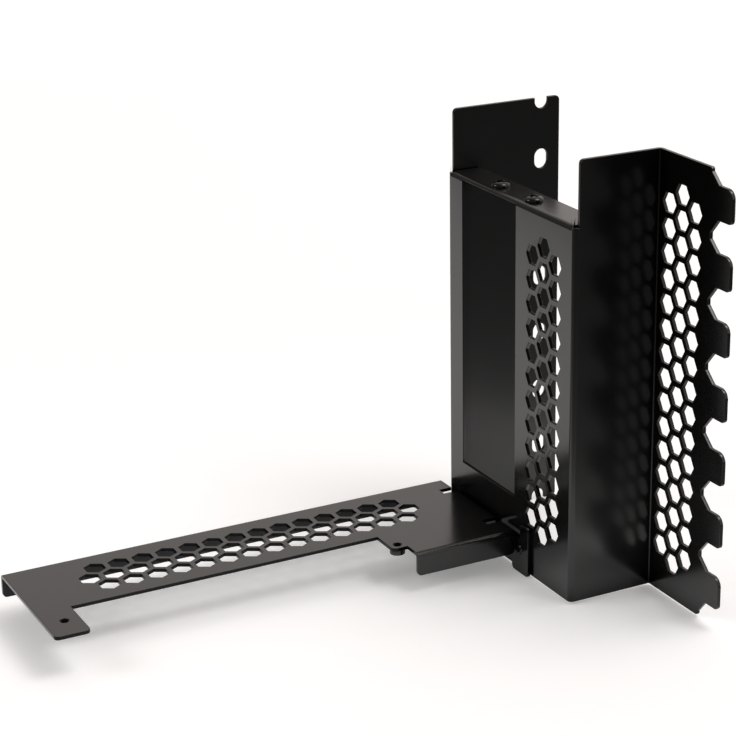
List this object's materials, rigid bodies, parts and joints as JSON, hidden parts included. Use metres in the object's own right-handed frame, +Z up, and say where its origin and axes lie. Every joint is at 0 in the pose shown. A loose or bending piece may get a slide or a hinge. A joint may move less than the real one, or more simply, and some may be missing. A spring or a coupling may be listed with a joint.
{
  "type": "vertical graphics card bracket",
  "caption": "Folded sheet-metal bracket that holds a graphics card upright at a computer case's slot row, with a honeycomb riser tray and a comb of slot tongues.",
  "frame": {"origin": "middle of the line of slot screws, on the outer face of the screw wall", "axes": "+X towards the rear of the computer case, +Y from the side wall to the screw wall, +Z up"},
  "size_m": [0.1988, 0.1191, 0.1439],
  "materials": {
    "powder_coat": "satin black paint on steel sheet",
    "black_screw": "gloss black coating on steel"
  },
  "bodies": {
    "root": {"slot_bracket": "powder_coat", "riser_tray": "powder_coat", "card_screw_1": "black_screw", "card_screw_2": "black_screw", "tray_screw_1": "black_screw", "tray_screw_2": "black_screw"}
  },
  "joints": []
}
